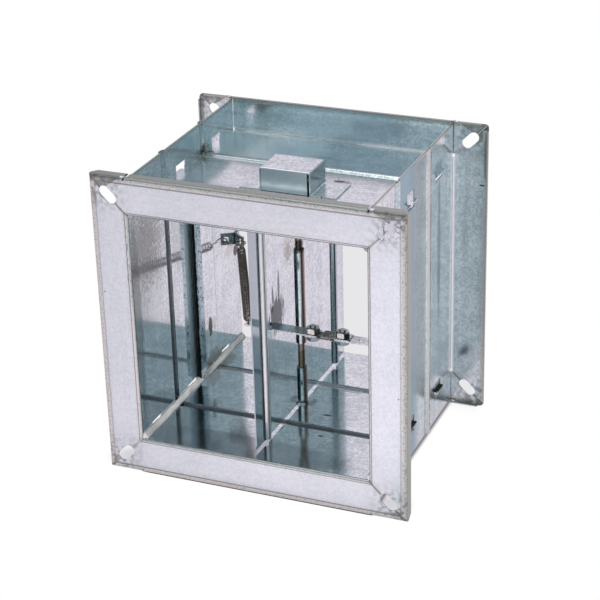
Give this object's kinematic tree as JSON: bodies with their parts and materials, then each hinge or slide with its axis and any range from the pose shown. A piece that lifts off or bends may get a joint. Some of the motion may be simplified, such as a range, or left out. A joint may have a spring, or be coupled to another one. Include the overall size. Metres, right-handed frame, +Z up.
{
  "type": "fusible link fire damper",
  "caption": "Square duct fire damper: folded sheet casing flanged at both ends, pressed blade on an upright axle, closing spring, stop strips and a soldered link that holds the blade open.",
  "frame": {"origin": "middle of the footprint, on the plane that the flanges' lower edges stand on", "axes": "+X to the right seen from the front, +Y along the duct from the front flange to the rear one, +Z up"},
  "size_m": [0.264, 0.207, 0.264],
  "materials": {
    "galvanised_sheet": "spangled zinc, satin",
    "galvanised_strip": "spangled zinc, satin",
    "sealant": "dried grey sealant",
    "bush_metal": "turned, dull",
    "strap_steel": "raw, stained",
    "link_plate": "tinned, dull",
    "solder": "cast, matt",
    "plated_fastener": "zinc plated",
    "spring_wire": "oiled dark wire",
    "axle_steel": "bare rod, brownish"
  },
  "bodies": {
    "casing": {"left_panel": "galvanised_sheet", "right_panel": "galvanised_sheet", "top_panel": "galvanised_sheet", "bottom_panel": "galvanised_sheet", "corner_sealant": "sealant", "left_stop": "galvanised_strip", "right_stop": "galvanised_strip", "top_axle_cover": "galvanised_sheet", "bottom_axle_cover": "galvanised_sheet", "upper_bush": "bush_metal", "lower_bush": "bush_metal", "spring_lug": "galvanised_strip", "wall_strap": "strap_steel", "wall_link_plate": "link_plate", "link_solder": "solder", "wall_screw": "plated_fastener", "wall_nut": "plated_fastener", "extension_spring": "spring_wire"},
    "swinging_blade": {"blade": "galvanised_sheet", "axle_rod": "axle_steel", "blade_strap": "strap_steel", "blade_link_plate": "link_plate", "blade_screw": "plated_fastener", "blade_nut": "plated_fastener"}
  },
  "joints": [
    {"name": "blade_swing", "type": "hinge", "parent": "casing", "child": "swinging_blade", "pos_m": [0, 0.0025, 0.132], "axis": [0, 0, -1], "range_deg": [0, 90], "deforming": ["extension_spring"]}
  ]
}
